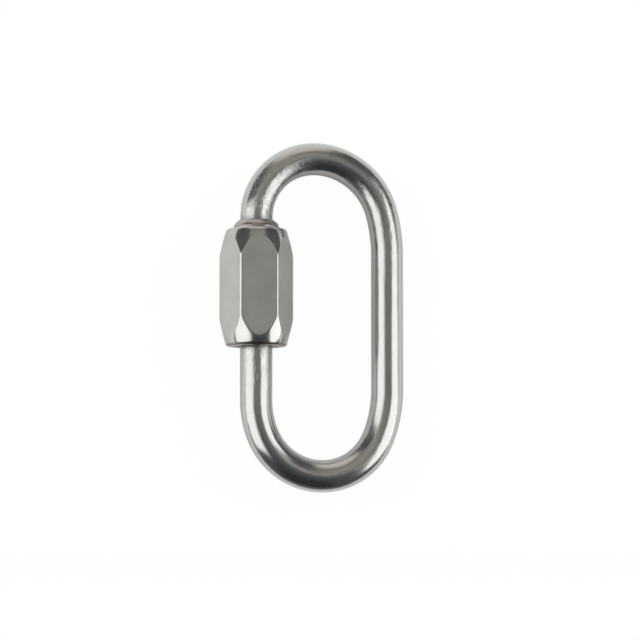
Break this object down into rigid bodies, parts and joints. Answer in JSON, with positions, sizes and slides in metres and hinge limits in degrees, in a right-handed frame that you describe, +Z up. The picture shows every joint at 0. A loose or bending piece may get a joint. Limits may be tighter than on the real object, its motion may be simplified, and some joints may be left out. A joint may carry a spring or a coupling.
{
  "type": "chain quick link",
  "caption": "Oval quick link of bent round steel rod whose gate is closed by a long hexagonal sleeve nut with tapered ends, for joining chain or rope.",
  "frame": {"origin": "middle of the link's footprint on the surface that it lies on", "axes": "+Y along the link from the bottom bow to the top bow, +X from the nut's leg to the back leg, +Z up"},
  "size_m": [0.0202, 0.038, 0.007],
  "materials": {
    "polished_rod": "polished stainless rod with fine drawing streaks and small pits",
    "satin_nut": "satin stainless hexagon bar with bright worn edges"
  },
  "bodies": {
    "link": {"link_body": "polished_rod"},
    "nut": {"sleeve_nut": "satin_nut"}
  },
  "joints": [
    {"name": "nut_travel", "type": "slide", "parent": "link", "child": "nut", "axis": [0, -1, 0], "range_m": [0, 0.0063]}
  ]
}
